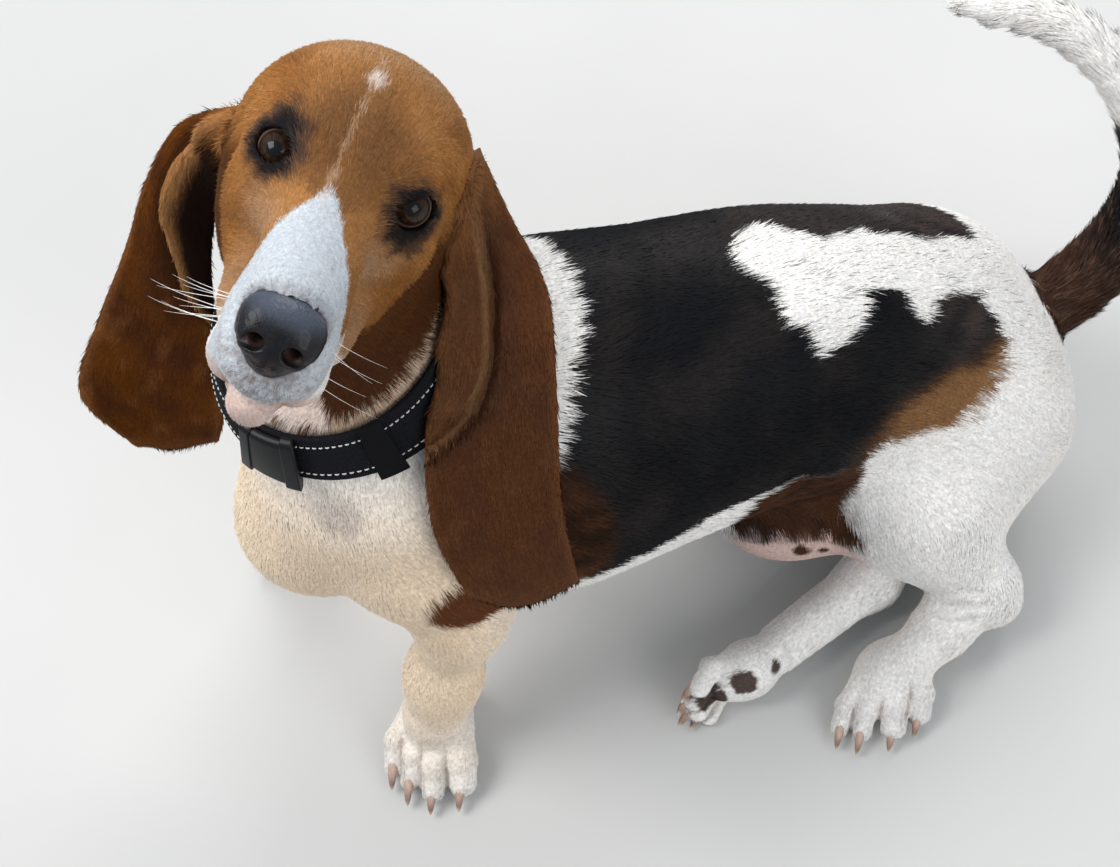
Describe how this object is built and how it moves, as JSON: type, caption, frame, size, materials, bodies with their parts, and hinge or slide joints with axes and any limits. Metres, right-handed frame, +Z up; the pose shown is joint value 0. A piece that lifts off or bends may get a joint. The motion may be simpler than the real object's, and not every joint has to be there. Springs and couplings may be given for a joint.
{
  "type": "basset hound",
  "caption": "Life-size still model of a basset hound sitting on one hip, its head raised and turned over its shoulder, with a webbing collar.",
  "frame": {"origin": "on the floor, under the middle of the box round the whole dog", "axes": "+Z up, the dog faces -X and its left side is towards -Y"},
  "size_m": [0.654, 0.3514, 0.5261],
  "materials": {
    "white_coat": "short smooth hair",
    "black_coat": "short glossy hair",
    "tan_coat": "short smooth hair",
    "ear_coat": "soft short hair",
    "nose": "damp, finely pebbled",
    "eye": "wet",
    "claw": "horn",
    "whisker": "fine stiff hair",
    "webbing": "woven",
    "stitching": "light thread",
    "buckle": "moulded"
  },
  "bodies": {
    "root": {"torso": "black_coat", "neck": "white_coat", "head": "tan_coat", "foreleg_left": "white_coat", "forepaw_left": "white_coat", "foreleg_right": "white_coat", "forepaw_right": "white_coat", "thigh_left": "white_coat", "shank_left": "white_coat", "hindpaw_left": "white_coat", "thigh_right": "white_coat", "shank_right": "white_coat", "hindpaw_right": "white_coat", "tail_root": "black_coat", "tail_tip": "white_coat", "nose": "nose", "eye_left": "eye", "eye_right": "eye", "ear_left": "ear_coat", "ear_right": "ear_coat", "collar_band": "webbing", "collar_slide": "buckle", "collar_buckle": "buckle"}
  },
  "joints": []
}
